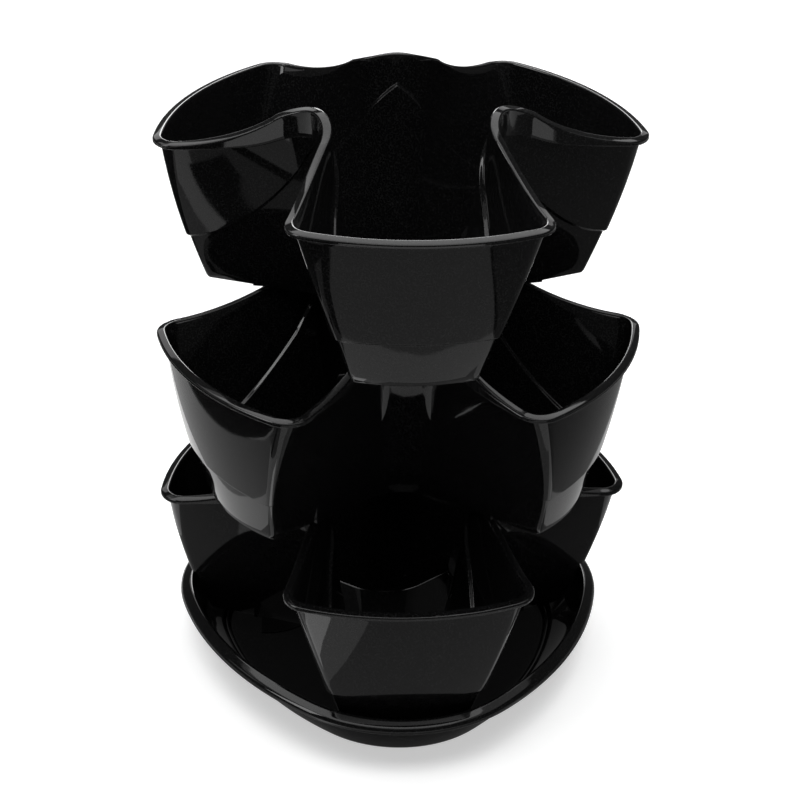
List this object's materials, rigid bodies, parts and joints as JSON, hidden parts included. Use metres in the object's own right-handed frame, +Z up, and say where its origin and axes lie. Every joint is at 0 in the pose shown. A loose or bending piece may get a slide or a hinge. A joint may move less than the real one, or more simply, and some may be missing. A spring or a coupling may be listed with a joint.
{
  "type": "vertical planter tower",
  "caption": "Stacking planter tower of three-lobed pots, each turned from the one below it, on a drip saucer; every pot lifts off.",
  "frame": {"origin": "on the stacking axis, at the flat underside of the saucer", "axes": "+Z up along the stacking axis; -Y towards the lobe of the top and bottom pots that faces the front; +X to the right seen from the front"},
  "size_m": [0.4, 0.3952, 0.5287],
  "materials": {
    "pot_plastic": "glossy black moulded plastic with a very fine light fleck",
    "saucer_plastic": "glossy black moulded plastic"
  },
  "bodies": {
    "saucer": {"saucer": "saucer_plastic"},
    "bottom_pot": {"bottom_pot": "pot_plastic"},
    "middle_pot": {"middle_pot": "pot_plastic"},
    "top_pot": {"top_pot": "pot_plastic"}
  },
  "joints": [
    {"name": "bottom_pot_lift", "type": "slide", "parent": "saucer", "child": "bottom_pot", "axis": [0, 0, 1], "range_m": [0, 0.06]},
    {"name": "middle_pot_lift", "type": "slide", "parent": "bottom_pot", "child": "middle_pot", "axis": [0, 0, 1], "range_m": [0, 0.06]},
    {"name": "top_pot_lift", "type": "slide", "parent": "middle_pot", "child": "top_pot", "axis": [0, 0, 1], "range_m": [0, 0.06]}
  ]
}
